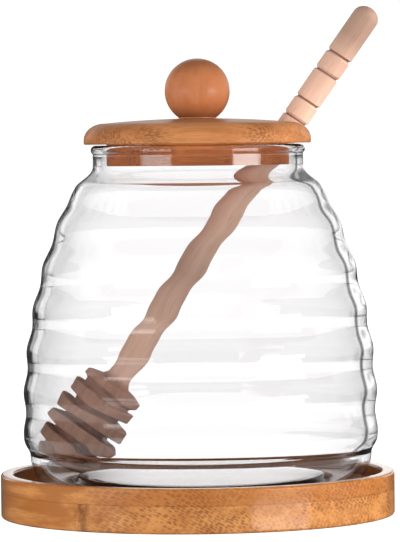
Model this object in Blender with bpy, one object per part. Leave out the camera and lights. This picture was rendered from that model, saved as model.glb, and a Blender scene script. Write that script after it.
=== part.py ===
"""Clear beehive honey jar on a round bamboo tray, with a bamboo lid, its ball knob and a turned dipper.

Metres, +Z up. The origin is the centre of the tray's underside, on the surface that the tray stands on. The
jar stands in the tray's recess, a little to +X of its centre, and carries the lid, the knob and the dipper.
The dipper leans across the jar: its grooved head lies at -X on the jar's floor, and its handle comes out at
+X through a notch in the lid's rim.
"""

import math

import bmesh
import bpy
from mathutils import Vector

# Clearance between two pieces that touch.
GAP = 0.0003

# Tray: a turned disc, its rim raised round a flat recess.
TRAY_RADIUS = 0.0600
TRAY_HEIGHT = 0.0133
TRAY_FLOOR = 0.0065
TRAY_RIM_WIDTH = 0.0039
TRAY_EDGE_ROUND = 0.0008

# Where the jar's axis stands, measured from the tray's.
JAR_OFFSET = 0.0011

# Jar, measured up from its own underside. Its side is an arc of a tall ellipse with a low ripple on it, and
# its wall swells a little half-way up. The bottom is pushed up within the foot and as thick as the wall.
JAR_HEIGHT = 0.1059
BODY_RADIUS = 0.0536
BODY_WIDEST_AT = 0.0232
BODY_HALF_HEIGHT = 0.0979
RIPPLE_DEPTH = 0.00042
RIPPLE_PITCH = 0.0128
LOWEST_CREST_AT = 0.0185
LOWEST_TROUGH_DEPTH = 0.0017
RIPPLE_FADES_FROM = 0.0852
SHOULDER_FROM = 0.0935
NECK_FROM = 0.0997
NECK_RADIUS = 0.0320
LIP_HALF_WIDTH = 0.0015
LIP_HALF_HEIGHT = 0.00145
WALL = 0.0024
WALL_SWELL = 0.0012
FLOOR_TOP = 0.0047
FLOOR_HOLLOW = 0.0021
FLOOR_FLAT_RADIUS = 0.0372
CORNER_TOP = LOWEST_CREST_AT - RIPPLE_PITCH / 2.0
NECK_SLOPE_STEP = 0.0006
GLASS_IOR = 1.47

# Lid, measured up from its underside. The plug under it hangs inside the jar's neck.
LID_RADIUS = 0.0347
LID_HEIGHT = 0.0077
LID_EDGE_HEIGHT = 0.0013
LID_SHOULDER_RADIUS = 0.0284
LID_SHOULDER_HEIGHT = 0.0064
LID_LOWER_ROUND = 0.0005
PLUG_RADIUS = 0.0278
PLUG_DEPTH = 0.0066
PLUG_BEVEL = 0.0005
NOTCH_WIDTH = 0.0100

# Knob: a ball with a flat under it.
KNOB_RADIUS = 0.0099
KNOB_FLAT_RADIUS = 0.0058

# Dipper, measured along its axis from the rounded end of its head.
DIPPER_LENGTH = 0.1690
DISC_RADII = (0.0091, 0.0107, 0.0119, 0.0119, 0.0106, 0.0095)
DISC_PITCH = 0.0056
FIRST_DISC_AT = 0.0020
DISC_THICKNESS = 0.0035
DISC_EDGE = 0.0004
LAST_DISC_THICKNESS = 0.0025
GROOVE_RADIUS = 0.0078
GROOVE_ROOT_WIDTH = 0.0012
END_DOME = 0.0025
COLLAR_RADIUS = 0.0050
COLLAR_LENGTH = 0.0022
STICK_RADIUS = 0.0041
STICK_WAIST_RADIUS = 0.0038
STICK_WAIST_LENGTH = 0.0040
CUTS_FROM_TIP = (0.0407, 0.0342, 0.0241, 0.0174)
CUT_DEPTH = 0.0007
CUT_WIDTH = 0.0005
BEAD_CHAMFER = 0.0009
TIP_DOME = 0.0036

# The dipper's lean towards +X, its small lean towards -Y, and where its axis passes the lid's underside.
DIPPER_LEAN = math.radians(35.2)
DIPPER_SIDE_LEAN = math.radians(1.4)
DIPPER_CROSSES_AT = 0.0247

# How finely each round piece is divided.
TRAY_SIDES = 48
JAR_SIDES = 40
LID_SIDES = 48
KNOB_SIDES = 24
DIPPER_SIDES = 20
SAMPLES_PER_RIPPLE = 4


def clear_scene():
    for obj in list(bpy.data.objects):
        bpy.data.objects.remove(obj, do_unlink=True)


def make_material(name, colour, roughness, transmission=0.0, ior=1.5):
    material = bpy.data.materials.new(name)
    material.use_nodes = True
    shader = material.node_tree.nodes["Principled BSDF"]
    shader.inputs["Base Color"].default_value = (*colour, 1.0)
    shader.inputs["Roughness"].default_value = roughness
    shader.inputs["Metallic"].default_value = 0.0
    shader.inputs["Transmission Weight"].default_value = transmission
    shader.inputs["IOR"].default_value = ior
    return material


def smoothstep(low, high, value):
    """0 below low, 1 above high, and an S-curve between."""
    t = min(max((value - low) / (high - low), 0.0), 1.0)
    return t * t * (3.0 - 2.0 * t)


def arc(centre_r, centre_z, half_width, half_height, start, stop, steps):
    """Points (radius, height) along an elliptical arc, from start to stop in degrees."""
    points = []
    for step in range(steps + 1):
        angle = math.radians(start + (stop - start) * step / steps)
        points.append((centre_r + half_width * math.cos(angle), centre_z + half_height * math.sin(angle)))
    return points


def turned(name, profile, sides, material, parent):
    """A solid of revolution about Z, from a profile of (radius, height) points with its ends on the axis."""
    shape = bmesh.new()
    points = [shape.verts.new((radius, 0.0, height)) for radius, height in profile]
    edges = [shape.edges.new(pair) for pair in zip(points, points[1:])]
    bmesh.ops.spin(
        shape,
        geom=points + edges,
        axis=(0.0, 0.0, 1.0),
        cent=(0.0, 0.0, 0.0),
        angle=2.0 * math.pi,
        steps=sides,
        use_merge=True,
    )
    bmesh.ops.remove_doubles(shape, verts=shape.verts, dist=1e-6)
    bmesh.ops.recalc_face_normals(shape, faces=shape.faces)
    return finished(name, shape, material, parent)


def finished(name, shape, material, parent):
    """The bmesh as an object in the scene, shaded smooth across its gentle edges."""
    mesh = bpy.data.meshes.new(name)
    shape.to_mesh(mesh)
    shape.free()
    mesh.materials.append(material)
    mesh.shade_smooth()
    mesh.set_sharp_from_angle(angle=math.radians(35.0))
    obj = bpy.data.objects.new(name, mesh)
    bpy.context.scene.collection.objects.link(obj)
    obj.parent = parent
    return obj


def tray_profile():
    inner_radius = TRAY_RADIUS - TRAY_RIM_WIDTH
    edge = TRAY_EDGE_ROUND
    rim_z = TRAY_HEIGHT - edge
    return (
        [(0.0, 0.0)]
        + arc(TRAY_RADIUS - edge, edge, edge, edge, -90, 0, 2)
        + arc(TRAY_RADIUS - edge, rim_z, edge, edge, 0, 90, 3)
        + arc(inner_radius + edge, rim_z, edge, edge, 90, 180, 3)
        + arc(inner_radius - edge, TRAY_FLOOR + edge, edge, edge, 0, -90, 2)
        + [(0.0, TRAY_FLOOR)]
    )


def jar_radius(z):
    """The jar's outer radius at a height above its underside, from the lowest trough up to the lip."""
    envelope = BODY_RADIUS * math.sqrt(1.0 - ((z - BODY_WIDEST_AT) / BODY_HALF_HEIGHT) ** 2)
    wave = math.cos(2.0 * math.pi * (z - LOWEST_CREST_AT) / RIPPLE_PITCH)
    if z < LOWEST_CREST_AT:
        body = envelope + RIPPLE_DEPTH - LOWEST_TROUGH_DEPTH * ((1.0 - wave) / 2.0) ** 2
    else:
        fade = 1.0 - smoothstep(RIPPLE_FADES_FROM, SHOULDER_FROM, z)
        body = envelope + RIPPLE_DEPTH * wave * fade
    return body + (NECK_RADIUS - body) * smoothstep(SHOULDER_FROM, NECK_FROM, z)


def jar_wall(z):
    """The wall's thickness: WALL at the foot and at the neck, and thickest half-way between."""
    t = min(max((z - CORNER_TOP) / (NECK_FROM - CORNER_TOP), 0.0), 1.0)
    return WALL + WALL_SWELL * math.sin(math.pi * t) ** 2


def jar_inner_point(z):
    """Where a level ray that enters at height z comes out inside. The two faces are alike along such rays,
    so that the wall distorts little of what is seen through it."""
    rings_left = 1.0 - smoothstep(RIPPLE_FADES_FROM, SHOULDER_FROM, z)
    step = RIPPLE_PITCH / 2.0 * rings_left + NECK_SLOPE_STEP * (1.0 - rings_left)
    tilt = math.atan((jar_radius(z - step) - jar_radius(z + step)) / (2.0 * step))
    bent = math.asin(math.sin(tilt) / GLASS_IOR)
    through = jar_wall(z) / math.cos(bent)
    return jar_radius(z) - through * math.cos(tilt - bent), z - through * math.sin(tilt - bent)


def jar_floor(edge_radius, edge_z, flat_z):
    """One face of the pushed-up bottom, from the axis out to the corner, as (radius, height) points."""
    steps = 4
    points = [(0.0, flat_z)]
    for step in range(steps + 1):
        radius = FLOOR_FLAT_RADIUS + (edge_radius - FLOOR_FLAT_RADIUS) * step / steps
        fall = smoothstep(FLOOR_FLAT_RADIUS, edge_radius, radius)
        points.append((radius, flat_z + (edge_z - flat_z) * fall))
    return points


def jar_side_heights():
    """Heights from just above the lowest trough to the neck, with every crest and trough among them."""
    step = RIPPLE_PITCH / SAMPLES_PER_RIPPLE
    first = CORNER_TOP + step
    ripples = [first + step * k for k in range(int((SHOULDER_FROM - first) / step))]
    shoulder_steps = 5
    rise = NECK_FROM - SHOULDER_FROM
    return ripples + [SHOULDER_FROM + rise * k / shoulder_steps for k in range(shoulder_steps + 1)]


def jar_profile():
    heights = jar_side_heights()
    corner_r = jar_radius(CORNER_TOP) - CORNER_TOP
    inner_radius = CORNER_TOP - WALL
    lip_r = NECK_RADIUS - WALL + LIP_HALF_WIDTH
    lip_z = JAR_HEIGHT - LIP_HALF_HEIGHT
    lip_start = -math.degrees(math.acos((NECK_RADIUS - lip_r) / LIP_HALF_WIDTH))
    return (
        jar_floor(corner_r, 0.0, FLOOR_HOLLOW)[:-1]
        + arc(corner_r, CORNER_TOP, CORNER_TOP, CORNER_TOP, -90, 0, 6)
        + [(jar_radius(z), z) for z in heights]
        + arc(lip_r, lip_z, LIP_HALF_WIDTH, LIP_HALF_HEIGHT, lip_start, 180, 9)
        + [jar_inner_point(z) for z in reversed(heights)]
        + arc(corner_r, CORNER_TOP, inner_radius, inner_radius, 0, -90, 5)
        + list(reversed(jar_floor(corner_r, WALL, FLOOR_TOP)[:-1]))
    )


def lid_profile():
    plug_bottom = -PLUG_DEPTH
    dome_middle_r = LID_SHOULDER_RADIUS / 2.0
    dome_rise = LID_HEIGHT - LID_SHOULDER_HEIGHT
    round_width = LID_RADIUS - LID_SHOULDER_RADIUS
    round_height = LID_SHOULDER_HEIGHT - LID_EDGE_HEIGHT
    return (
        [
            (0.0, plug_bottom),
            (PLUG_RADIUS - PLUG_BEVEL, plug_bottom),
            (PLUG_RADIUS, plug_bottom + PLUG_BEVEL),
            (PLUG_RADIUS, 0.0),
            (LID_RADIUS - LID_LOWER_ROUND, 0.0),
            (LID_RADIUS, LID_LOWER_ROUND),
        ]
        + arc(LID_SHOULDER_RADIUS, LID_EDGE_HEIGHT, round_width, round_height, 0, 90, 6)
        + [(dome_middle_r, LID_HEIGHT - dome_rise / 4.0), (0.0, LID_HEIGHT)]
    )


def knob_profile():
    centre_z = math.sqrt(KNOB_RADIUS**2 - KNOB_FLAT_RADIUS**2)
    start = -math.degrees(math.acos(KNOB_FLAT_RADIUS / KNOB_RADIUS))
    ball = arc(0.0, centre_z, KNOB_RADIUS, KNOB_RADIUS, start, 90, 12)
    return [(0.0, 0.0)] + ball[:-1] + [(0.0, centre_z + KNOB_RADIUS)]


def disc_profile(radius, centre, thickness, from_root, to_root):
    """One disc of the head: its rim is chamfered, and its faces spread a little towards the groove's root."""
    low = centre - thickness / 2.0
    high = centre + thickness / 2.0
    return [
        (GROOVE_RADIUS, from_root),
        (radius - DISC_EDGE, low),
        (radius, low + DISC_EDGE),
        (radius, high - DISC_EDGE),
        (radius - DISC_EDGE, high),
        (GROOVE_RADIUS, to_root),
    ]


def head_profile():
    """The head's discs, from the rounded end up to the flat face that the stick rises from."""
    half_root = (DISC_PITCH - GROOVE_ROOT_WIDTH) / 2.0
    end_radius = DISC_RADII[0]
    end_rim_top = FIRST_DISC_AT + DISC_THICKNESS / 2.0
    end = arc(0.0, END_DOME, end_radius, END_DOME, -90, 0, 5)
    end += [(end_radius, end_rim_top - DISC_EDGE), (end_radius - DISC_EDGE, end_rim_top)]
    points = [(0.0, 0.0)] + end[1:] + [(GROOVE_RADIUS, FIRST_DISC_AT + half_root)]
    for number, radius in enumerate(DISC_RADII[1:-1], start=1):
        centre = FIRST_DISC_AT + DISC_PITCH * number
        points += disc_profile(radius, centre, DISC_THICKNESS, centre - half_root, centre + half_root)
    centre = FIRST_DISC_AT + DISC_PITCH * (len(DISC_RADII) - 1)
    last = disc_profile(DISC_RADII[-1], centre, LAST_DISC_THICKNESS, centre - half_root, 0.0)
    return points + last[:-1]


def handle_profile(stick_start):
    """The stick above the head, its four turned cuts and its rounded tip."""
    points = [(STICK_WAIST_RADIUS, stick_start), (STICK_RADIUS, stick_start + STICK_WAIST_LENGTH)]
    cut_radius = STICK_RADIUS - CUT_DEPTH
    for number, from_tip in enumerate(CUTS_FROM_TIP):
        z = DIPPER_LENGTH - from_tip
        bead_is_above = number % 2 == 0
        below = CUT_WIDTH if bead_is_above else BEAD_CHAMFER
        above = BEAD_CHAMFER if bead_is_above else CUT_WIDTH
        points += [(STICK_RADIUS, z - below), (cut_radius, z), (STICK_RADIUS, z + above)]
    tip = arc(0.0, DIPPER_LENGTH - TIP_DOME, STICK_RADIUS, TIP_DOME, 0, 90, 5)
    return points + tip[:-1] + [(0.0, DIPPER_LENGTH)]


def dipper_profile():
    head = head_profile()
    head_top = head[-1][1]
    collar = [(COLLAR_RADIUS, head_top)]
    return head + collar + handle_profile(head_top + COLLAR_LENGTH)


def dipper_direction():
    side = math.sin(DIPPER_SIDE_LEAN)
    level = math.cos(DIPPER_SIDE_LEAN)
    return Vector((level * math.sin(DIPPER_LEAN), -side, level * math.cos(DIPPER_LEAN)))


def dipper_end():
    """Where the middle of the dipper's rounded end is, with its lowest point just above the jar's floor."""
    direction = dipper_direction()
    tilt = math.acos(direction.z)
    dome_drop = END_DOME * math.cos(tilt)
    rim_drop = DISC_RADII[0] * math.sin(tilt)
    end_z = FLOOR_TOP + GAP - dome_drop + math.hypot(dome_drop, rim_drop)
    crossing = Vector((DIPPER_CROSSES_AT, 0.0, JAR_HEIGHT + GAP))
    return crossing - direction * ((crossing.z - end_z) / direction.z)


def make_tray(material, parent):
    return turned("tray", tray_profile(), TRAY_SIDES, material, parent)


def make_jar(material, parent):
    return turned("jar", jar_profile(), JAR_SIDES, material, parent)


def make_notch_cutter(lid_z, parent):
    """A bar with a half-round inner edge, leaning like the dipper, that cuts the notch through the lid."""
    half_width = NOTCH_WIDTH / 2.0
    reach = LID_RADIUS
    half_length = LID_RADIUS / 2.0
    inner_edge = arc(0.0, 0.0, half_width, half_width, 90, 270, 12)
    outline = inner_edge + [(reach, -half_width), (reach, half_width)]
    shape = bmesh.new()
    face = shape.faces.new([shape.verts.new((x, y, -half_length)) for x, y in outline])
    grown = bmesh.ops.extrude_face_region(shape, geom=[face])
    moved = [item for item in grown["geom"] if isinstance(item, bmesh.types.BMVert)]
    bmesh.ops.translate(shape, verts=moved, vec=(0.0, 0.0, 2.0 * half_length))
    bmesh.ops.recalc_face_normals(shape, faces=shape.faces)
    mesh = bpy.data.meshes.new("notch_cutter")
    shape.to_mesh(mesh)
    shape.free()
    cutter = bpy.data.objects.new("notch_cutter", mesh)
    bpy.context.scene.collection.objects.link(cutter)
    cutter.parent = parent
    cutter.location = (DIPPER_CROSSES_AT, 0.0, lid_z)
    cutter.rotation_euler = (0.0, DIPPER_LEAN, 0.0)
    cutter.hide_render = True
    cutter.display_type = "WIRE"
    return cutter


def make_lid(material, parent):
    lid_z = JAR_HEIGHT + GAP
    lid = turned("lid", lid_profile(), LID_SIDES, material, parent)
    lid.location = (0.0, 0.0, lid_z)
    notch = lid.modifiers.new("notch", "BOOLEAN")
    notch.operation = "DIFFERENCE"
    notch.solver = "EXACT"
    notch.object = make_notch_cutter(lid_z, parent)
    return lid


def make_knob(material, parent):
    knob = turned("knob", knob_profile(), KNOB_SIDES, material, parent)
    knob.location = (0.0, 0.0, JAR_HEIGHT + GAP + LID_HEIGHT + GAP)
    return knob


def make_dipper(material, parent):
    dipper = turned("dipper", dipper_profile(), DIPPER_SIDES, material, parent)
    dipper.location = dipper_end()
    dipper.rotation_euler = (DIPPER_SIDE_LEAN, DIPPER_LEAN, 0.0)
    return dipper


clear_scene()

glass = make_material("clear_glass", (0.96, 0.98, 0.98), 0.02, transmission=1.0, ior=1.47)
tray_bamboo = make_material("tray_bamboo", (0.62, 0.32, 0.12), 0.35)
lid_bamboo = make_material("lid_bamboo", (0.50, 0.24, 0.10), 0.40)
knob_wood = make_material("knob_wood", (0.56, 0.25, 0.10), 0.40)
dipper_wood = make_material("dipper_wood", (0.62, 0.42, 0.30), 0.60)

jar_frame = bpy.data.objects.new("jar_frame", None)
bpy.context.scene.collection.objects.link(jar_frame)
jar_frame.location = (JAR_OFFSET, 0.0, TRAY_FLOOR + GAP)

make_tray(tray_bamboo, None)
make_jar(glass, jar_frame)
make_lid(lid_bamboo, jar_frame)
make_knob(knob_wood, jar_frame)
make_dipper(dipper_wood, jar_frame)
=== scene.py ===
import math

import bmesh
import bpy
from mathutils import Matrix, Vector


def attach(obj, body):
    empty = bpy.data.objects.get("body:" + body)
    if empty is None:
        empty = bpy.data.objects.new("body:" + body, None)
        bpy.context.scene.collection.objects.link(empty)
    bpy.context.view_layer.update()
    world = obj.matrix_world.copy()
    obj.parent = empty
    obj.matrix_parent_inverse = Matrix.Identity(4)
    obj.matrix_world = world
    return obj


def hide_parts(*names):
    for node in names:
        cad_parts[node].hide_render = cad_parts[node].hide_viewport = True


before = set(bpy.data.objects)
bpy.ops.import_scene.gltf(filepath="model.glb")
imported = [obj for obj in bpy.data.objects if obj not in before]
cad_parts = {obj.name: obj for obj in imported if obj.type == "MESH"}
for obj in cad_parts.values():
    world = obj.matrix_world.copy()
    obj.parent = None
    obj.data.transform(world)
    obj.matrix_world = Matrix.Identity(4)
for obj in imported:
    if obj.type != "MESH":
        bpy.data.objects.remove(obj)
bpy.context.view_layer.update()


# Camera. A long lens a little over a metre away, just below the lid's height and looking slightly down,
# turned by half a degree, so that the set leans to the left by as much.
LENS_MM = 247.9
CAMERA_PLACE = (0.00137, -1.136, 0.1138)
LOOKS_DOWN = math.radians(1.995)
ROLL = math.radians(0.61)

lens = bpy.data.cameras.new("camera")
lens.lens = LENS_MM
lens.sensor_width = 36.0
lens.clip_start = 0.05
camera = bpy.data.objects.new("camera", lens)
camera.matrix_world = (
    Matrix.Translation(CAMERA_PLACE)
    @ Matrix.Rotation(math.radians(90.0) - LOOKS_DOWN, 4, "X")
    @ Matrix.Rotation(-ROLL, 4, "Z")
)
bpy.context.scene.collection.objects.link(camera)
bpy.context.scene.camera = camera
bpy.context.scene.view_settings.view_transform = "Standard"


# Tray. A disc of laminated bamboo board, turned on a faceplate: a raised rim round a flat recess. It is
# sanded and given a satin clear lacquer. Two layers of strips show at its side as a fine glue line.
TRAY_RADIUS = 0.0600
TRAY_HEIGHT = 0.0133
TRAY_FLOOR = 0.0065
TRAY_RIM_WIDTH = 0.0039
TRAY_EDGE_ROUND = 0.0008
TRAY_SIDES = 192
TRAY_GLUE_LINE = 0.0082
TRAY_FIBRE_ANGLE = math.radians(-64.0)
BARE_TINT = (1.55, 1.10, 0.60, 1.0)


def add_node(tree, kind, inputs=None, **settings):
    """A new node, its settings made, each input set to a value or linked to a socket."""
    made = tree.nodes.new(kind)
    for name, value in settings.items():
        setattr(made, name, value)
    for key, value in (inputs or {}).items():
        if isinstance(value, bpy.types.NodeSocket):
            tree.links.new(value, made.inputs[key])
        else:
            made.inputs[key].default_value = value
    return made


def calc(tree, operation, *values):
    return add_node(tree, "ShaderNodeMath", dict(enumerate(values)), operation=operation).outputs[0]


def rise(tree, value, low, high, to_low=0.0, to_high=1.0):
    """An S-curve of the value, from to_low at low and before to to_high at high and after."""
    made = add_node(
        tree,
        "ShaderNodeMapRange",
        {"Value": value, "From Min": low, "From Max": high, "To Min": to_low, "To Max": to_high},
        interpolation_type="SMOOTHSTEP",
    )
    return made.outputs[0]


def blend_colour(tree, factor, first, second, mode="MIX"):
    made = add_node(tree, "ShaderNodeMix", data_type="RGBA", blend_type=mode, clamp_factor=True)
    for key, value in ((0, factor), (6, first), (7, second)):
        if isinstance(value, bpy.types.NodeSocket):
            tree.links.new(value, made.inputs[key])
        else:
            made.inputs[key].default_value = value
    return made.outputs[2]


def arc(centre_r, centre_z, half_width, half_height, start, stop, steps):
    """Points (radius, height) along an elliptical arc, from start to stop in degrees."""
    points = []
    for step in range(steps + 1):
        angle = math.radians(start + (stop - start) * step / steps)
        points.append((centre_r + half_width * math.cos(angle), centre_z + half_height * math.sin(angle)))
    return points


def spaced(points, longest):
    """The same outline with its straight stretches divided, so that no step is longer than that."""
    out = [points[0]]
    for start, stop in zip(points, points[1:]):
        pieces = max(1, math.ceil(math.dist(start, stop) / longest))
        for k in range(1, pieces + 1):
            t = k / pieces
            out.append((start[0] + (stop[0] - start[0]) * t, start[1] + (stop[1] - start[1]) * t))
    return out


def ramp(tree, value, stops):
    """Greys (position, level) that the value passes through."""
    made = add_node(tree, "ShaderNodeValToRGB", {0: value})
    elements = made.color_ramp.elements
    while len(elements) < len(stops):
        elements.new(1.0)
    for element, (position, level) in zip(elements, stops):
        element.position = position
        element.color = (level, level, level, 1.0)
    return made.outputs["Color"]


def make_turning_tree():
    """Turns a profile, the points (radius, 0, height) of a mesh in their order, about Z into a closed shell.
    The attribute "outline" says how far along the profile a point is, from 0 to 1."""
    tree = bpy.data.node_groups.new("turned_on_lathe", "GeometryNodeTree")
    face = tree.interface
    face.new_socket(name="Profile", in_out="INPUT", socket_type="NodeSocketGeometry")
    face.new_socket(name="Sides", in_out="INPUT", socket_type="NodeSocketInt").default_value = 96
    face.new_socket(name="Weld", in_out="INPUT", socket_type="NodeSocketFloat").default_value = 1e-6
    face.new_socket(name="Finish", in_out="INPUT", socket_type="NodeSocketMaterial")
    face.new_socket(name="Geometry", in_out="OUTPUT", socket_type="NodeSocketGeometry")
    given = add_node(tree, "NodeGroupInput").outputs
    size = add_node(tree, "GeometryNodeAttributeDomainSize", {"Geometry": given["Profile"]})
    rows = calc(tree, "ADD", given["Sides"], 1.0)
    count = size.outputs["Point Count"]
    grid = add_node(tree, "GeometryNodeMeshGrid", {"Vertices X": count, "Vertices Y": rows})
    index = add_node(tree, "GeometryNodeInputIndex").outputs[0]
    along = calc(tree, "FLOOR", calc(tree, "DIVIDE", calc(tree, "ADD", index, 0.5), rows))
    around = calc(tree, "FLOORED_MODULO", index, rows)
    angle = calc(tree, "MULTIPLY", calc(tree, "DIVIDE", around, given["Sides"]), -2.0 * math.pi)
    sample = add_node(tree, "GeometryNodeSampleIndex", data_type="FLOAT_VECTOR", domain="POINT")
    tree.links.new(given["Profile"], sample.inputs["Geometry"])
    tree.links.new(add_node(tree, "GeometryNodeInputPosition").outputs[0], sample.inputs["Value"])
    tree.links.new(along, sample.inputs["Index"])
    point = add_node(tree, "ShaderNodeSeparateXYZ", {0: sample.outputs[0]}).outputs
    place = add_node(
        tree,
        "ShaderNodeCombineXYZ",
        {
            "X": calc(tree, "MULTIPLY", point["X"], calc(tree, "COSINE", angle)),
            "Y": calc(tree, "MULTIPLY", point["X"], calc(tree, "SINE", angle)),
            "Z": point["Z"],
        },
    )
    moved = add_node(
        tree, "GeometryNodeSetPosition", {"Geometry": grid.outputs["Mesh"], "Position": place.outputs[0]}
    )
    share = calc(tree, "DIVIDE", along, calc(tree, "SUBTRACT", count, 1.0))
    kept = add_node(
        tree,
        "GeometryNodeStoreNamedAttribute",
        {"Geometry": moved.outputs[0], "Name": "outline", "Value": share},
        data_type="FLOAT",
        domain="POINT",
    )
    welded = add_node(
        tree, "GeometryNodeMergeByDistance", {"Geometry": kept.outputs[0], "Distance": given["Weld"]}
    )
    smooth = add_node(tree, "GeometryNodeSetShadeSmooth", {"Geometry": welded.outputs[0]})
    real = add_node(tree, "GeometryNodeRealizeInstances", {"Geometry": smooth.outputs[0]})
    painted = add_node(
        tree, "GeometryNodeSetMaterial", {"Geometry": real.outputs[0], "Material": given["Finish"]}
    )
    add_node(tree, "NodeGroupOutput", {"Geometry": painted.outputs[0]})
    return tree


turning_tree = make_turning_tree()


def profile_mesh(name, profile):
    mesh = bpy.data.meshes.new(name)
    edges = [(k, k + 1) for k in range(len(profile) - 1)]
    mesh.from_pydata([(radius, 0.0, height) for radius, height in profile], edges, [])
    return mesh


def grown(name, start_mesh, tree, **settings):
    """The plain mesh object that a Geometry Nodes tree makes from the start mesh, with these input values."""
    carrier = bpy.data.objects.new(name + "_start", start_mesh)
    bpy.context.scene.collection.objects.link(carrier)
    modifier = carrier.modifiers.new("grown", "NODES")
    modifier.node_group = tree
    sockets = {item.name: item.identifier for item in tree.interface.items_tree if item.in_out == "INPUT"}
    for key, value in settings.items():
        modifier[sockets[key]] = value
    bpy.context.view_layer.update()
    graph = bpy.context.evaluated_depsgraph_get()
    mesh = bpy.data.meshes.new_from_object(carrier.evaluated_get(graph))
    mesh.name = name
    bpy.data.objects.remove(carrier, do_unlink=True)
    made = bpy.data.objects.new(name, mesh)
    bpy.context.scene.collection.objects.link(made)
    return made


def turned(name, profile, sides, finish, place=None, crisp=None):
    """A turned piece, moved to its place in its mesh. Edges sharper than crisp, in degrees, stay sharp."""
    made = grown(name, profile_mesh(name, profile), turning_tree, Sides=sides, Finish=finish)
    if place is not None:
        made.data.transform(place)
    if crisp is not None:
        made.data.set_sharp_from_angle(angle=math.radians(crisp))
    return made


def stretched(tree, vector, scale, turn=(0.0, 0.0, 0.0)):
    """The vector turned, then scaled, as the place to look up in a noise."""
    turned_first = add_node(tree, "ShaderNodeMapping", {"Vector": vector, "Rotation": turn})
    return add_node(tree, "ShaderNodeMapping", {"Vector": turned_first.outputs[0], "Scale": scale}).outputs[0]


def noise(tree, vector, detail):
    return add_node(tree, "ShaderNodeTexNoise", {"Vector": vector, "Scale": 1.0, "Detail": detail}).outputs[0]


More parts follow.
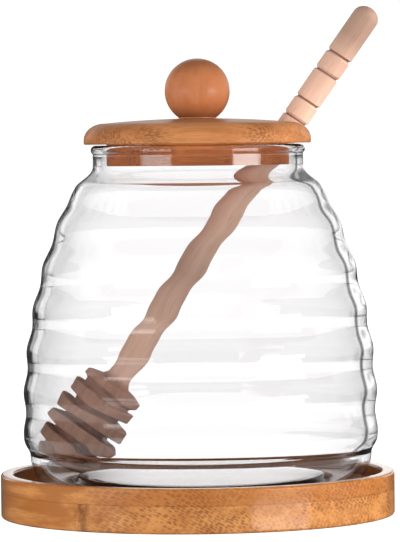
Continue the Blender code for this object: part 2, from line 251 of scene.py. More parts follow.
def make_bamboo(
    name,
    pale,
    deep,
    dark,
    fibre_angle,
    end_range,
    dots_per_metre,
    lacquer,
    bare_below=None,
    glue_line=None,
    node_mark=None,
):
    """Bamboo board, its fibre bundles along fibre_angle: long streaks at the side, rows of dots on end.
    The end_range is how squarely, as a cosine, a face is across the fibres where dots start and are full.
    Below bare_below there is no lacquer. A node_mark is a node's place along, its edge across, its width."""
    material = bpy.data.materials.new(name)
    material.use_nodes = True
    tree = material.node_tree
    shader = tree.nodes["Principled BSDF"]
    where = add_node(tree, "ShaderNodeTexCoord").outputs["Object"]
    turned_round = stretched(tree, where, (1.0, 1.0, 1.0), (0.0, 0.0, -fibre_angle))
    along, across, height = add_node(tree, "ShaderNodeSeparateXYZ", {0: turned_round}).outputs

    # How much the surface shows the fibres on end: 1 where it faces along them, 0 where it runs with them.
    facing = add_node(tree, "ShaderNodeNewGeometry").outputs["Normal"]
    fibre = (math.cos(fibre_angle), math.sin(fibre_angle), 0.0)
    dot = add_node(tree, "ShaderNodeVectorMath", {0: facing, 1: fibre}, operation="DOT_PRODUCT")
    on_end = rise(tree, calc(tree, "ABSOLUTE", dot.outputs["Value"]), end_range[0], end_range[1])

    # Long soft tones along the fibre, fine streaks, and the bundles, which stand in slanting rows on end.
    tone = noise(tree, stretched(tree, turned_round, (16.0, 150.0, 210.0)), 4.0)
    streak = noise(tree, stretched(tree, turned_round, (45.0, 1500.0, 2300.0)), 3.0)
    patch = noise(tree, stretched(tree, turned_round, (90.0, 110.0, 190.0)), 2.0)
    rows = stretched(tree, turned_round, (60.0,) + dots_per_metre, (math.radians(30.0), 0.0, 0.0))
    cells = add_node(tree, "ShaderNodeTexVoronoi", {"Vector": rows, "Scale": 1.0, "Randomness": 0.55})
    bundle = rise(tree, cells.outputs["Distance"], 0.62, 0.28)

    tone_offset = calc(tree, "SUBTRACT", rise(tree, tone, 0.36, 0.64), 0.5)
    tone_spread = rise(tree, on_end, 0.0, 1.0, 1.0, 0.45)
    colour = blend_colour(tree, calc(tree, "MULTIPLY_ADD", tone_offset, tone_spread, 0.5), deep, pale)
    streaks_seen = rise(tree, on_end, 0.0, 1.0, 0.55, 0.20)
    streak_depth = calc(tree, "MULTIPLY", rise(tree, streak, 0.46, 0.68), streaks_seen)
    colour = blend_colour(tree, streak_depth, colour, deep)
    dot_depth = calc(tree, "MULTIPLY", bundle, rise(tree, on_end, 0.0, 1.0, 0.03, 0.88))
    dot_depth = calc(tree, "MULTIPLY", dot_depth, rise(tree, patch, 0.34, 0.62, 0.45, 1.0))
    if glue_line is not None:
        upper = rise(tree, height, glue_line - 0.0002, glue_line + 0.0002)
        dot_depth = calc(tree, "MULTIPLY", dot_depth, rise(tree, upper, 0.0, 1.0, 0.70, 1.40))
    colour = blend_colour(tree, dot_depth, colour, dark)

    # The layer above the glue line is of a deeper shade on end, and the line itself is a little darker.
    if glue_line is not None:
        above = calc(tree, "MULTIPLY", upper, on_end)
        colour = blend_colour(tree, calc(tree, "MULTIPLY", above, 0.68), colour, deep)
        away = calc(tree, "ABSOLUTE", calc(tree, "SUBTRACT", height, glue_line))
        colour = blend_colour(tree, rise(tree, away, 0.0, 0.0004, 0.30, 0.0), colour, dark)

    # A node of the culm: a mottled brown band across the fibres of one layer.
    if node_mark is not None:
        mark_along, mark_across, mark_width = node_mark
        swirl = noise(tree, stretched(tree, turned_round, (700.0, 420.0, 520.0)), 3.0)
        ragged = calc(tree, "MULTIPLY", calc(tree, "SUBTRACT", swirl, 0.5), mark_width * 1.6)
        past_mark = calc(tree, "SUBTRACT", calc(tree, "ADD", along, ragged), mark_along)
        band = rise(tree, calc(tree, "ABSOLUTE", past_mark), mark_width * 0.10, mark_width, 0.75, 0.0)
        band = calc(tree, "MULTIPLY", band, rise(tree, swirl, 0.38, 0.60, 0.20, 1.0))
        band = calc(tree, "MULTIPLY", band, calc(tree, "LESS_THAN", across, mark_across))
        band = calc(tree, "MULTIPLY", band, calc(tree, "LESS_THAN", height, glue_line))
        colour = blend_colour(tree, band, colour, dark)

    if bare_below is not None:
        is_bare = calc(tree, "LESS_THAN", height, bare_below)
        colour = blend_colour(tree, is_bare, colour, BARE_TINT, "MULTIPLY")
    tree.links.new(colour, shader.inputs["Base Color"])
    tree.links.new(rise(tree, tone, 0.3, 0.7, 0.44, 0.52), shader.inputs["Roughness"])
    relief = calc(tree, "ADD", calc(tree, "MULTIPLY", bundle, -0.6), calc(tree, "MULTIPLY", streak, 0.5))
    bump = add_node(tree, "ShaderNodeBump", {"Height": relief, "Strength": 0.25, "Distance": 0.0001})
    tree.links.new(bump.outputs[0], shader.inputs["Normal"])
    shader.inputs["Specular IOR Level"].default_value = 0.12
    if bare_below is None:
        shader.inputs["Coat Weight"].default_value = lacquer
    else:
        lacquered = rise(tree, height, bare_below - 0.0002, bare_below + 0.0002, 0.0, lacquer)
        tree.links.new(lacquered, shader.inputs["Coat Weight"])
    shader.inputs["Coat Roughness"].default_value = 0.17
    return material


tray_finish = make_bamboo(
    "tray_satin_bamboo",
    pale=(0.60, 0.265, 0.078, 1.0),
    deep=(0.36, 0.118, 0.020, 1.0),
    dark=(0.13, 0.034, 0.005, 1.0),
    fibre_angle=TRAY_FIBRE_ANGLE,
    end_range=(0.40, 0.72),
    dots_per_metre=(700.0, 1300.0),
    lacquer=1.0,
    glue_line=TRAY_GLUE_LINE,
    node_mark=(0.0300, -0.0350, 0.0030),
)


def tray_profile():
    inner_radius = TRAY_RADIUS - TRAY_RIM_WIDTH
    edge = TRAY_EDGE_ROUND
    rim_z = TRAY_HEIGHT - edge
    outline = (
        [(0.0, 0.0)]
        + arc(TRAY_RADIUS - edge, edge, edge, edge, -90, 0, 8)
        + arc(TRAY_RADIUS - edge, rim_z, edge, edge, 0, 90, 8)
        + arc(inner_radius + edge, rim_z, edge, edge, 90, 180, 8)
        + arc(inner_radius - edge, TRAY_FLOOR + edge, edge, edge, 0, -90, 6)
        + [(0.0, TRAY_FLOOR)]
    )
    return spaced(outline, 0.004)


tray = turned("tray_turned", tray_profile(), TRAY_SIDES, tray_finish)
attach(tray, "root")
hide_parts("tray")


# Jar. Clear borosilicate glass blown into a ribbed beehive mould: low rings round the body, a shoulder
# drawn in to a straight neck, and a fire-polished lip. It only stands in the tray's recess.
GAP = 0.0003
JAR_OFFSET = 0.0011
JAR_HEIGHT = 0.1059
BODY_RADIUS = 0.0536
BODY_WIDEST_AT = 0.0232
BODY_HALF_HEIGHT = 0.0979
RIPPLE_DEPTH = 0.00042
RIPPLE_PITCH = 0.0128
LOWEST_CREST_AT = 0.0185
LOWEST_TROUGH_DEPTH = 0.0017
RIPPLE_FADES_FROM = 0.0852
SHOULDER_FROM = 0.0935
NECK_FROM = 0.0997
NECK_RADIUS = 0.0320
LIP_HALF_WIDTH = 0.0015
LIP_HALF_HEIGHT = 0.00145
WALL = 0.0024
WALL_SWELL = 0.0012
FLOOR_TOP = 0.0047
FLOOR_HOLLOW = 0.0021
FLOOR_FLAT_RADIUS = 0.0372
CORNER_TOP = LOWEST_CREST_AT - RIPPLE_PITCH / 2.0
GLASS_IOR = 1.47
NECK_SLOPE_STEP = 0.0006
NECK_STEP = 0.0003
NARROWING_KEPT = 0.26
RINGS_SUNK_INSIDE = 0.00045
JAR_SIDES = 160
JAR_STEPS = 130
# Painted dark edges of the glass, standing in for dark surroundings seen by refraction: the heights where
# they start and are full, then how dark they are by how squarely the face is seen, on the left, on the right
# and at the shoulder.
PAINTED_EDGE_FROM = 0.0170
PAINTED_EDGE_FULL = 0.0230
LIP_AT_SHARE = 0.53
LEFT_PAINTED_EDGE = ((0.30, 1.0), (0.60, 0.90), (0.68, 0.74), (0.72, 0.60), (0.745, 0.24), (1.0, 0.18))
RIGHT_PAINTED_LINE = (
    (0.50, 1.0), (0.615, 0.95), (0.635, 0.22), (0.66, 0.22), (0.68, 0.93), (0.90, 0.90), (1.0, 0.45)
)
SHOULDER_PAINTED_EDGE = ((0.55, 1.0), (0.70, 0.80), (0.80, 0.62), (1.0, 0.45))
CLEAR = (1.0, 1.0, 1.0, 1.0)
GLASS_TINT = (0.947, 0.941, 0.944, 1.0)

jar_place = Matrix.Translation((JAR_OFFSET, 0.0, TRAY_FLOOR + GAP))


def smoothstep(low, high, value):
    t = min(max((value - low) / (high - low), 0.0), 1.0)
    return t * t * (3.0 - 2.0 * t)


def jar_radius(z):
    envelope = BODY_RADIUS * math.sqrt(1.0 - ((z - BODY_WIDEST_AT) / BODY_HALF_HEIGHT) ** 2)
    wave = math.cos(2.0 * math.pi * (z - LOWEST_CREST_AT) / RIPPLE_PITCH)
    if z < LOWEST_CREST_AT:
        body = envelope + RIPPLE_DEPTH - LOWEST_TROUGH_DEPTH * ((1.0 - wave) / 2.0) ** 2
    else:
        fade = 1.0 - smoothstep(RIPPLE_FADES_FROM, SHOULDER_FROM, z)
        body = envelope + RIPPLE_DEPTH * wave * fade
    return body + (NECK_RADIUS - body) * smoothstep(SHOULDER_FROM, NECK_FROM, z)


def jar_wall(z):
    t = min(max((z - CORNER_TOP) / (NECK_FROM - CORNER_TOP), 0.0), 1.0)
    return WALL + WALL_SWELL * math.sin(math.pi * t) ** 2


def jar_inner_point(z):
    """Where a level ray that enters at height z comes out inside, with the two faces nearly alike along it,
    so that what is seen through is bent only a little. The wall would have to narrow with the slope to bend
    nothing, and keeps a part of that. The inner rings lie a little lower, which gives a wavy view."""
    rings_left = 1.0 - smoothstep(RIPPLE_FADES_FROM, SHOULDER_FROM, z)
    step = RIPPLE_PITCH / 2.0 * rings_left + NECK_SLOPE_STEP * (1.0 - rings_left)
    tilt = math.atan((jar_radius(z - step) - jar_radius(z + step)) / (2.0 * step))
    bent = math.asin(math.sin(tilt) / GLASS_IOR)
    spread = math.sqrt(GLASS_IOR**2 - 1.0)
    narrowing = math.asinh(math.cos(tilt) / spread) - math.asinh(1.0 / spread)
    through = jar_wall(z) * math.exp(NARROWING_KEPT * narrowing) / math.cos(bent)
    sunk = RINGS_SUNK_INSIDE * rings_left * smoothstep(CORNER_TOP, LOWEST_CREST_AT, z)
    return jar_radius(z) - through * math.cos(tilt - bent), z - through * math.sin(tilt - bent) - sunk


def jar_floor(edge_radius, edge_z, flat_z, steps):
    """One face of the pushed-up bottom, from the axis out to the corner, as (radius, height) points."""
    points = [(0.0, flat_z)]
    for step in range(steps + 1):
        radius = FLOOR_FLAT_RADIUS + (edge_radius - FLOOR_FLAT_RADIUS) * step / steps
        share = smoothstep(FLOOR_FLAT_RADIUS, edge_radius, radius)
        points.append((radius, flat_z + (edge_z - flat_z) * share))
    return points


def jar_profile():
    corner_r = jar_radius(CORNER_TOP) - CORNER_TOP
    inner_radius = CORNER_TOP - WALL
    heights = [CORNER_TOP + (NECK_FROM - CORNER_TOP) * k / JAR_STEPS for k in range(1, JAR_STEPS + 1)]
    lip_r = NECK_RADIUS - WALL + LIP_HALF_WIDTH
    lip_z = JAR_HEIGHT - LIP_HALF_HEIGHT
    lip_start = -math.degrees(math.acos((NECK_RADIUS - lip_r) / LIP_HALF_WIDTH))
    lip = arc(lip_r, lip_z, LIP_HALF_WIDTH, LIP_HALF_HEIGHT, lip_start, 180, 24)
    neck = spaced([(NECK_RADIUS, NECK_FROM), lip[0]], NECK_STEP)
    outline = (
        jar_floor(corner_r, 0.0, FLOOR_HOLLOW, 12)[:-1]
        + arc(corner_r, CORNER_TOP, CORNER_TOP, CORNER_TOP, -90, 0, 24)
        + [(jar_radius(z), z) for z in heights[:-1]]
        + neck
        + lip[1:]
        + [jar_inner_point(z) for z in reversed(heights)]
        + arc(corner_r, CORNER_TOP, inner_radius, inner_radius, 0, -90, 24)
        + list(reversed(jar_floor(corner_r, WALL, FLOOR_TOP, 12)[:-1]))
    )
    return spaced(outline, 0.003)


def make_glass():
    """Clear glass with painted dark edges where the eye looks along its outer face: the dark surroundings
    that the glass shows there by refraction, put into its colour as a broad dark edge on the left side, and
    on the right a fine dark line where the inside of the wall begins. It is clearer at shoulder and neck."""
    material = bpy.data.materials.new("clear_blown_glass")
    material.use_nodes = True
    tree = material.node_tree
    shader = tree.nodes["Principled BSDF"]
    facing = add_node(tree, "ShaderNodeLayerWeight", {"Blend": 0.5}).outputs["Facing"]
    where = add_node(tree, "ShaderNodeTexCoord").outputs["Object"]
    x, _, z = add_node(tree, "ShaderNodeSeparateXYZ", {0: where}).outputs
    broad = ramp(tree, facing, LEFT_PAINTED_EDGE)
    fine = ramp(tree, facing, RIGHT_PAINTED_LINE)
    high = ramp(tree, facing, SHOULDER_PAINTED_EDGE)
    left = blend_colour(tree, rise(tree, z, 0.082, 0.100), broad, high)
    high_and_fine = blend_colour(tree, 1.0, fine, high, "MULTIPLY")
    right = blend_colour(tree, rise(tree, z, 0.070, 0.095), fine, high_and_fine)
    edge = blend_colour(tree, rise(tree, x, -0.025, 0.025), left, right)
    outline = add_node(tree, "ShaderNodeAttribute", attribute_name="outline").outputs["Fac"]
    outside = calc(tree, "LESS_THAN", outline, LIP_AT_SHARE)
    # Painted dark edge: refracted dark surroundings put into the colour of the outer face, above the foot.
    painted_edge_share = calc(tree, "MULTIPLY", rise(tree, z, PAINTED_EDGE_FROM, PAINTED_EDGE_FULL), outside)
    colour = blend_colour(tree, painted_edge_share, CLEAR, edge)
    colour = blend_colour(tree, 1.0, colour, colour, "MULTIPLY")
    colour = blend_colour(tree, 1.0, colour, GLASS_TINT, "MULTIPLY")
    tree.links.new(colour, shader.inputs["Base Color"])
    shader.inputs["Roughness"].default_value = 0.0
    shader.inputs["IOR"].default_value = GLASS_IOR
    shader.inputs["Transmission Weight"].default_value = 1.0
    return material


jar_finish = make_glass()
jar = turned("jar_blown", jar_profile(), JAR_SIDES, jar_finish, jar_place)
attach(jar, "root")
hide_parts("jar")


# Dipper. One piece of pale close-grained wood, turned between centres: six discs with grooves between
# them, a plain stick, and four cuts near its rounded tip. It is left bare and leans across the jar.
DIPPER_LENGTH = 0.1690
DISC_RADII = (0.0091, 0.0107, 0.0119, 0.0119, 0.0106, 0.0095)
DISC_PITCH = 0.0056
FIRST_DISC_AT = 0.0020
DISC_THICKNESS = 0.0035
DISC_EDGE = 0.0004
LAST_DISC_THICKNESS = 0.0025
GROOVE_RADIUS = 0.0078
GROOVE_ROOT_WIDTH = 0.0012
END_DOME = 0.0025
COLLAR_RADIUS = 0.0050
COLLAR_LENGTH = 0.0022
STICK_RADIUS = 0.0041
STICK_WAIST_RADIUS = 0.0038
STICK_WAIST_LENGTH = 0.0040
CUTS_FROM_TIP = (0.0407, 0.0342, 0.0241, 0.0174)
CUT_DEPTH = 0.0007
CUT_WIDTH = 0.0005
BEAD_CHAMFER = 0.0009
TIP_DOME = 0.0036
DIPPER_LEAN = math.radians(35.2)
DIPPER_SIDE_LEAN = math.radians(1.4)
DIPPER_CROSSES_AT = 0.0247
DIPPER_SIDES = 96
HEAD_ENDS = 0.0315
CRISP_DEGREES = 34.0
# Painted light and shade along the dipper, as (share of its length from the head's end, shade): lighter and
# darker stretches where more or less light falls on it, and a darker tip.
PAINTED_SHADE_ALONG = (
    (0.20, 1.0), (0.27, 1.0), (0.42, 0.66), (0.56, 0.97),
    (0.68, 1.0), (0.80, 0.86), (0.89, 0.70), (0.94, 0.45),
)


def disc_profile(radius, centre, thickness, from_root, to_root):
    low = centre - thickness / 2.0
    high = centre + thickness / 2.0
    return (
        [(GROOVE_RADIUS, from_root)]
        + arc(radius - DISC_EDGE, low + DISC_EDGE, DISC_EDGE, DISC_EDGE, -90, 0, 4)
        + arc(radius - DISC_EDGE, high - DISC_EDGE, DISC_EDGE, DISC_EDGE, 0, 90, 4)
        + [(GROOVE_RADIUS, to_root)]
    )


def head_profile():
    half_root = (DISC_PITCH - GROOVE_ROOT_WIDTH) / 2.0
    end_radius = DISC_RADII[0]
    end_rim_top = FIRST_DISC_AT + DISC_THICKNESS / 2.0
    end = arc(0.0, END_DOME, end_radius, END_DOME, -90, 0, 12)
    end += arc(end_radius - DISC_EDGE, end_rim_top - DISC_EDGE, DISC_EDGE, DISC_EDGE, 0, 90, 4)
    points = [(0.0, 0.0)] + end[1:] + [(GROOVE_RADIUS, FIRST_DISC_AT + half_root)]
    for number, radius in enumerate(DISC_RADII[1:-1], start=1):
        centre = FIRST_DISC_AT + DISC_PITCH * number
        points += disc_profile(radius, centre, DISC_THICKNESS, centre - half_root, centre + half_root)
    centre = FIRST_DISC_AT + DISC_PITCH * (len(DISC_RADII) - 1)
    last = disc_profile(DISC_RADII[-1], centre, LAST_DISC_THICKNESS, centre - half_root, 0.0)
    return points + last[:-1]


def handle_profile(stick_start):
    points = [(STICK_WAIST_RADIUS, stick_start), (STICK_RADIUS, stick_start + STICK_WAIST_LENGTH)]
    cut_radius = STICK_RADIUS - CUT_DEPTH
    for number, from_tip in enumerate(CUTS_FROM_TIP):
        z = DIPPER_LENGTH - from_tip
        bead_is_above = number % 2 == 0
        below = CUT_WIDTH if bead_is_above else BEAD_CHAMFER
        above = BEAD_CHAMFER if bead_is_above else CUT_WIDTH
        points += [(STICK_RADIUS, z - below), (cut_radius, z), (STICK_RADIUS, z + above)]
    tip = arc(0.0, DIPPER_LENGTH - TIP_DOME, STICK_RADIUS, TIP_DOME, 0, 90, 14)
    return points + tip[:-1] + [(0.0, DIPPER_LENGTH)]


def dipper_profile():
    head = head_profile()
    head_top = head[-1][1]
    collar = [(COLLAR_RADIUS, head_top)]
    return spaced(head + collar + handle_profile(head_top + COLLAR_LENGTH), 0.003)


def dipper_direction():
    side = math.sin(DIPPER_SIDE_LEAN)
    level = math.cos(DIPPER_SIDE_LEAN)
    return Vector((level * math.sin(DIPPER_LEAN), -side, level * math.cos(DIPPER_LEAN)))


def dipper_end():
    """Where the middle of the rounded end is, with its lowest point just above the jar's floor."""
    direction = dipper_direction()
    tilt = math.acos(direction.z)
    dome_drop = END_DOME * math.cos(tilt)
    rim_drop = DISC_RADII[0] * math.sin(tilt)
    end_z = FLOOR_TOP + GAP - dome_drop + math.hypot(dome_drop, rim_drop)
    crossing = Vector((DIPPER_CROSSES_AT, 0.0, JAR_HEIGHT + GAP))
    return crossing - direction * ((crossing.z - end_z) / direction.z)


dipper_turn = Matrix.Rotation(DIPPER_LEAN, 4, "Y") @ Matrix.Rotation(DIPPER_SIDE_LEAN, 4, "X")
dipper_place = jar_place @ Matrix.Translation(dipper_end()) @ dipper_turn


def make_bare_wood(name, place, pale, warm, dark, head_tone):
    """Bare close-grained wood, its grain along the piece's own axis, browner at the head, and dark in the
    cuts. The ramp of shades along it, from the head's end, is painted light and shade: lighter and darker
    stretches where more or less light falls on it, down to a darker tip."""
    material = bpy.data.materials.new(name)
    material.use_nodes = True
    tree = material.node_tree
    shader = tree.nodes["Principled BSDF"]
    where = add_node(tree, "ShaderNodeTexCoord").outputs["Object"]
    back = place.inverted()
    own_parts = {}
    for k in range(3):
        dot = add_node(tree, "ShaderNodeVectorMath", {0: where, 1: back[k][:3]}, operation="DOT_PRODUCT")
        own_parts[k] = calc(tree, "ADD", dot.outputs["Value"], back[k][3])
    own = add_node(tree, "ShaderNodeCombineXYZ", own_parts).outputs[0]
    grain = noise(tree, stretched(tree, own, (420.0, 420.0, 18.0)), 4.0)
    fleck = noise(tree, stretched(tree, own, (1700.0, 1700.0, 150.0)), 2.0)
    colour = blend_colour(tree, rise(tree, grain, 0.30, 0.70), warm, pale)
    # Painted light and shade: the colour is made lighter or darker along the dipper's length.
    shade = ramp(tree, calc(tree, "DIVIDE", own_parts[2], DIPPER_LENGTH), PAINTED_SHADE_ALONG)
    colour = blend_colour(tree, 1.0, colour, shade, "MULTIPLY")
    head_part = rise(tree, own_parts[2], HEAD_ENDS, HEAD_ENDS + 0.003, 1.0, 0.0)
    head_colour = blend_colour(tree, rise(tree, grain, 0.35, 0.65, 0.0, 0.30), head_tone, dark)
    colour = blend_colour(tree, head_part, colour, head_colour)
    colour = blend_colour(tree, rise(tree, fleck, 0.58, 0.72, 0.0, 0.25), colour, dark)
    for from_tip in CUTS_FROM_TIP:
        away = calc(tree, "ABSOLUTE", calc(tree, "SUBTRACT", own_parts[2], DIPPER_LENGTH - from_tip))
        colour = blend_colour(tree, rise(tree, away, 0.0001, 0.0005, 0.85, 0.0), colour, dark)
    tree.links.new(colour, shader.inputs["Base Color"])
    tree.links.new(rise(tree, grain, 0.3, 0.7, 0.52, 0.64), shader.inputs["Roughness"])
    bump = add_node(tree, "ShaderNodeBump", {"Height": grain, "Strength": 0.3, "Distance": 0.0001})
    tree.links.new(bump.outputs[0], shader.inputs["Normal"])
    shader.inputs["Specular IOR Level"].default_value = 0.10
    return material


dipper_finish = make_bare_wood(
    "dipper_bare_wood",
    dipper_place,
    pale=(0.84, 0.540, 0.405, 1.0),
    warm=(0.74, 0.455, 0.335, 1.0),
    dark=(0.20, 0.105, 0.072, 1.0),
    head_tone=(0.50, 0.270, 0.190, 1.0),
)
dipper = turned("dipper_turned", dipper_profile(), DIPPER_SIDES, dipper_finish, dipper_place, CRISP_DEGREES)
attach(dipper, "root")
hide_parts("dipper")


# Lid. Bamboo, turned with the plug that hangs in the neck in one piece, then notched at one side for the
# dipper. It only rests on the jar's lip.
LID_RADIUS = 0.0347
LID_HEIGHT = 0.0077
LID_EDGE_HEIGHT = 0.0013
LID_SHOULDER_RADIUS = 0.0284
LID_SHOULDER_HEIGHT = 0.0064
LID_LOWER_ROUND = 0.0005
PLUG_RADIUS = 0.0278
PLUG_DEPTH = 0.0066
PLUG_BEVEL = 0.0005
NOTCH_WIDTH = 0.0100
LID_SIDES = 160

lid_place = jar_place @ Matrix.Translation((0.0, 0.0, JAR_HEIGHT + GAP))


def lid_profile():
    plug_bottom = -PLUG_DEPTH
    dome_rise = LID_HEIGHT - LID_SHOULDER_HEIGHT
    round_width = LID_RADIUS - LID_SHOULDER_RADIUS
    round_height = LID_SHOULDER_HEIGHT - LID_EDGE_HEIGHT
    lower = LID_LOWER_ROUND
    dome_steps = 12
    dome = []
    for step in range(1, dome_steps + 1):
        t = 1.0 - step / dome_steps
        dome.append((LID_SHOULDER_RADIUS * t, LID_HEIGHT - dome_rise * t * t))
    outline = (
        [(0.0, plug_bottom)]
        + arc(PLUG_RADIUS - PLUG_BEVEL, plug_bottom + PLUG_BEVEL, PLUG_BEVEL, PLUG_BEVEL, -90, 0, 5)
        + [(PLUG_RADIUS, 0.0)]
        + arc(LID_RADIUS - lower, lower, lower, lower, -90, 0, 5)
        + arc(LID_SHOULDER_RADIUS, LID_EDGE_HEIGHT, round_width, round_height, 0, 90, 20)
        + dome
    )
    return spaced(outline, 0.004)


def notch_cutter():
    half_width = NOTCH_WIDTH / 2.0
    reach = LID_RADIUS
    half_length = LID_RADIUS / 2.0
    inner_edge = arc(0.0, 0.0, half_width, half_width, 90, 270, 32)
    outline = inner_edge + [(reach, -half_width), (reach, half_width)]
    shape = bmesh.new()
    face = shape.faces.new([shape.verts.new((x, y, -half_length)) for x, y in outline])
    grown_faces = bmesh.ops.extrude_face_region(shape, geom=[face])
    moved = [item for item in grown_faces["geom"] if isinstance(item, bmesh.types.BMVert)]
    bmesh.ops.translate(shape, verts=moved, vec=(0.0, 0.0, 2.0 * half_length))
    bmesh.ops.recalc_face_normals(shape, faces=shape.faces)
    mesh = bpy.data.meshes.new("notch_cutter")
    shape.to_mesh(mesh)
    shape.free()
    lean = Matrix.Rotation(DIPPER_LEAN, 4, "Y")
    mesh.transform(lid_place @ Matrix.Translation((DIPPER_CROSSES_AT, 0.0, 0.0)) @ lean)
    cutter = bpy.data.objects.new("notch_cutter", mesh)
    bpy.context.scene.collection.objects.link(cutter)
    return cutter


def cut(piece, cutter):
    """The piece less the cutter, as a plain mesh again. The cutter is used up."""
    saw = piece.modifiers.new("saw", "BOOLEAN")
    saw.operation = "DIFFERENCE"
    saw.solver = "EXACT"
    saw.object = cutter
    bpy.context.view_layer.update()
    graph = bpy.context.evaluated_depsgraph_get()
    mesh = bpy.data.meshes.new_from_object(piece.evaluated_get(graph))
    piece.modifiers.remove(saw)
    piece.data = mesh
    bpy.data.objects.remove(cutter, do_unlink=True)


lid_finish = make_bamboo(
    "lid_satin_bamboo",
    pale=(0.52, 0.215, 0.080, 1.0),
    deep=(0.33, 0.120, 0.037, 1.0),
    dark=(0.17, 0.060, 0.020, 1.0),
    fibre_angle=0.0,
    end_range=(0.08, 0.40),
    dots_per_metre=(1300.0, 2300.0),
    lacquer=0.12,
    bare_below=lid_place.translation.z,
)
lid = turned("lid_turned", lid_profile(), LID_SIDES, lid_finish, lid_place)
cut(lid, notch_cutter())
lid.data.set_sharp_from_angle(angle=math.radians(CRISP_DEGREES))
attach(lid, "root")
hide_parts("lid")


# Knob. A turned ball with a flat under it, grain upright, fixed to the lid's top from below.
KNOB_RADIUS = 0.0099
KNOB_FLAT_RADIUS = 0.0058
KNOB_SIDES = 96

knob_place = lid_place @ Matrix.Translation((0.0, 0.0, LID_HEIGHT + GAP))


def knob_profile():
    centre_z = math.sqrt(KNOB_RADIUS**2 - KNOB_FLAT_RADIUS**2)
    start = -math.degrees(math.acos(KNOB_FLAT_RADIUS / KNOB_RADIUS))
    ball = arc(0.0, centre_z, KNOB_RADIUS, KNOB_RADIUS, start, 90, 60)
    return [(0.0, -GAP), (KNOB_FLAT_RADIUS, -GAP)] + ball[:-1] + [(0.0, centre_z + KNOB_RADIUS)]


def make_lacquered_wood(name, pale, deep, dark, lacquer):
    """Close-grained wood under satin lacquer, its grain upright. It is darker at the top and more so at the
    bottom: partly end grain, and partly painted shade.
    """
    material = bpy.data.materials.new(name)
    material.use_nodes = True
    tree = material.node_tree
    shader = tree.nodes["Principled BSDF"]
    where = add_node(tree, "ShaderNodeTexCoord").outputs["Object"]
    tone = noise(tree, stretched(tree, where, (260.0, 260.0, 60.0)), 3.0)
    pore = noise(tree, stretched(tree, where, (1900.0, 1900.0, 500.0)), 2.0)
    colour = blend_colour(tree, rise(tree, tone, 0.30, 0.70), deep, pale)
    colour = blend_colour(tree, rise(tree, pore, 0.55, 0.75, 0.0, 0.25), colour, dark)
    facing = add_node(tree, "ShaderNodeNewGeometry").outputs["Normal"]
    up = add_node(tree, "ShaderNodeSeparateXYZ", {0: facing}).outputs["Z"]
    # Painted shade, partly end grain: darker towards the top for the weak light from above, and darker still
    # towards the bottom, where the ball shades its underside over the lid.
    colour = blend_colour(tree, rise(tree, up, 0.25, 0.95, 0.0, 0.55), colour, dark)
    colour = blend_colour(tree, rise(tree, up, -0.95, -0.25, 0.80, 0.0), colour, dark)
    tree.links.new(colour, shader.inputs["Base Color"])
    tree.links.new(rise(tree, tone, 0.3, 0.7, 0.40, 0.50), shader.inputs["Roughness"])
    shader.inputs["Specular IOR Level"].default_value = 0.25
    shader.inputs["Coat Weight"].default_value = lacquer
    shader.inputs["Coat Roughness"].default_value = 0.20
    return material


knob_finish = make_lacquered_wood(
    "knob_satin_wood",
    pale=(0.46, 0.165, 0.064, 1.0),
    deep=(0.39, 0.130, 0.046, 1.0),
    dark=(0.20, 0.065, 0.024, 1.0),
    lacquer=0.25,
)
knob = turned("knob_turned", knob_profile(), KNOB_SIDES, knob_finish, knob_place, CRISP_DEGREES)
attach(knob, "root")
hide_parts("knob")


# Floor and light. A white floor that runs into a white backdrop, a softbox in front and one at the side, to
# the left and to the right. Only the low windows and the backdrop are mirrored in the glass and the lacquer.
FLOOR_HALF_WIDTH = 4.0
FLOOR_SUNK = 0.0002
WHITE_SEEN = 1.09
WHITE_MIRRORED = 1.4
SCREEN_LEFT_AT = -0.24
SCREEN_RIGHT_AT = 0.26
SCREEN_HALF_WIDTHS = (0.12, 0.22)


def make_floor():
    mesh = bpy.data.meshes.new("floor")
    half = FLOOR_HALF_WIDTH
    corners = [(-half, -half, 0.0), (half, -half, 0.0), (half, half, 0.0), (-half, half, 0.0)]
    mesh.from_pydata(corners, [], [(0, 1, 2, 3)])
    material = bpy.data.materials.new("white_floor")
    material.use_nodes = True
    shader = material.node_tree.nodes["Principled BSDF"]
    shader.inputs["Base Color"].default_value = (0.30, 0.30, 0.30, 1.0)
    shader.inputs["Roughness"].default_value = 0.9
    shader.inputs["Specular IOR Level"].default_value = 0.0
    shader.inputs["Emission Color"].default_value = (1.0, 1.0, 1.0, 1.0)
    shader.inputs["Emission Strength"].default_value = 1.05
    mesh.materials.append(material)
    made = bpy.data.objects.new("floor", mesh)
    made.location = (0.0, 0.0, -FLOOR_SUNK)
    made.visible_glossy = False
    made.visible_diffuse = False
    bpy.context.scene.collection.objects.link(made)
    return made


make_floor()


def soft_light(name, place, aim, width, height, power, mirrored):
    """A rectangular light. Unless mirrored, it lights the wood but isn't seen in the glass or through it."""
    light = bpy.data.lights.new(name, "AREA")
    light.shape = "RECTANGLE"
    light.size = width
    light.size_y = height
    light.energy = power
    made = bpy.data.objects.new(name, light)
    made.location = place
    made.rotation_euler = (Vector(aim) - Vector(place)).to_track_quat("-Z", "Y").to_euler()
    made.visible_glossy = mirrored
    made.visible_transmission = mirrored
    bpy.context.scene.collection.objects.link(made)


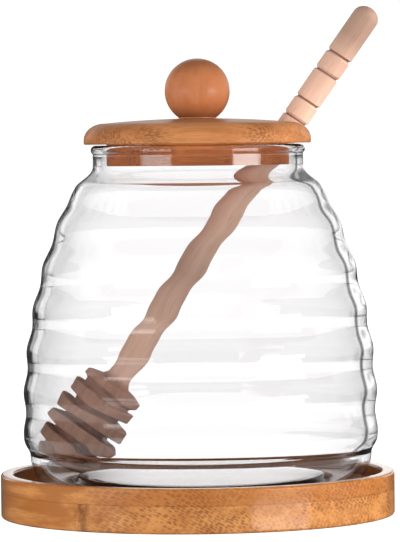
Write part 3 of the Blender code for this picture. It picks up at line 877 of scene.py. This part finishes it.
soft_light("softbox_left", (-0.66, -0.50, 0.06), (0.0, 0.0, 0.07), 0.36, 0.42, 2.7, False)
soft_light("softbox_right", (0.62, -0.55, 0.16), (0.0, 0.0, 0.07), 0.36, 0.36, 3.3, False)
soft_light("side_right", (0.85, 0.05, 0.08), (0.0, 0.0, 0.03), 0.30, 0.30, 5.9, False)
soft_light("side_left", (-0.85, -0.05, 0.06), (0.0, 0.0, 0.01), 0.30, 0.20, 2.0, False)
soft_light("window_left", (-0.585, -0.545, 0.108), (0.0, 0.0, 0.108), 0.50, 0.12, 0.62, True)
soft_light("window_right", (0.655, -0.459, 0.108), (0.0, 0.0, 0.108), 0.46, 0.12, 1.20, True)
soft_light("window_right_in_table", (0.590, -0.540, -0.114), (0.0, 0.0, -0.114), 0.49, 0.09, 0.60, True)


def mix_value(tree, factor, first, second):
    kept = calc(tree, "MULTIPLY", calc(tree, "SUBTRACT", 1.0, factor), first)
    return calc(tree, "ADD", kept, calc(tree, "MULTIPLY", factor, second))


def toward_screen(tree, right, centre):
    """1 in the direction of a dark screen, its centre that far to the right, falling to 0 beside it."""
    away = calc(tree, "ABSOLUTE", calc(tree, "SUBTRACT", right, centre))
    return rise(tree, away, *SCREEN_HALF_WIDTHS, 1.0, 0.0)


def make_world():
    """White to the eye and through the glass. As light it is stronger from the right, and weaker from above
    and below. To a mirror it is white only behind the set and above the horizon, but for two dark screens."""
    world = bpy.data.worlds.new("studio")
    world.use_nodes = True
    tree = world.node_tree
    tree.nodes.clear()
    ray = add_node(tree, "ShaderNodeLightPath").outputs
    way = add_node(tree, "ShaderNodeTexCoord").outputs["Generated"]
    right, behind, up = add_node(tree, "ShaderNodeSeparateXYZ", {0: way}).outputs
    level_light = rise(tree, right, -0.9, 0.6, 1.15, 1.65)
    from_above = rise(tree, up, 0.05, 0.80, 1.0, 0.25)
    from_below = rise(tree, up, -0.70, 0.0, 0.15, 1.0)
    lighting = calc(tree, "MULTIPLY", level_light, calc(tree, "MULTIPLY", from_above, from_below))
    backdrop = calc(tree, "MULTIPLY", rise(tree, up, -0.02, 0.04), rise(tree, behind, 0.60, 0.92))
    at_left = toward_screen(tree, right, SCREEN_LEFT_AT)
    screen_left = calc(tree, "MULTIPLY", at_left, rise(tree, up, 0.12, 0.30, 1.0, 0.35))
    at_right = toward_screen(tree, right, SCREEN_RIGHT_AT)
    screen_right = calc(tree, "MULTIPLY", at_right, rise(tree, up, 0.04, 0.16, 0.0, 0.75))
    screened = calc(tree, "SUBTRACT", calc(tree, "SUBTRACT", 1.0, screen_left), screen_right)
    backdrop = calc(tree, "MULTIPLY", backdrop, screened)
    room = rise(tree, behind, -0.2, 0.5, 0.30, 0.06)
    mirrored = calc(tree, "MULTIPLY_ADD", backdrop, WHITE_MIRRORED, room)
    is_mirrored = calc(tree, "GREATER_THAN", ray["Glossy Depth"], 0.5)
    is_lighting = calc(tree, "GREATER_THAN", ray["Diffuse Depth"], 0.5)
    level = mix_value(tree, is_mirrored, WHITE_SEEN, mirrored)
    level = mix_value(tree, is_lighting, level, lighting)
    white = (1.0, 1.0, 1.0, 1.0)
    shown = add_node(tree, "ShaderNodeBackground", {"Color": white, "Strength": level})
    add_node(tree, "ShaderNodeOutputWorld", {"Surface": shown.outputs[0]})
    bpy.context.scene.world = world


make_world()
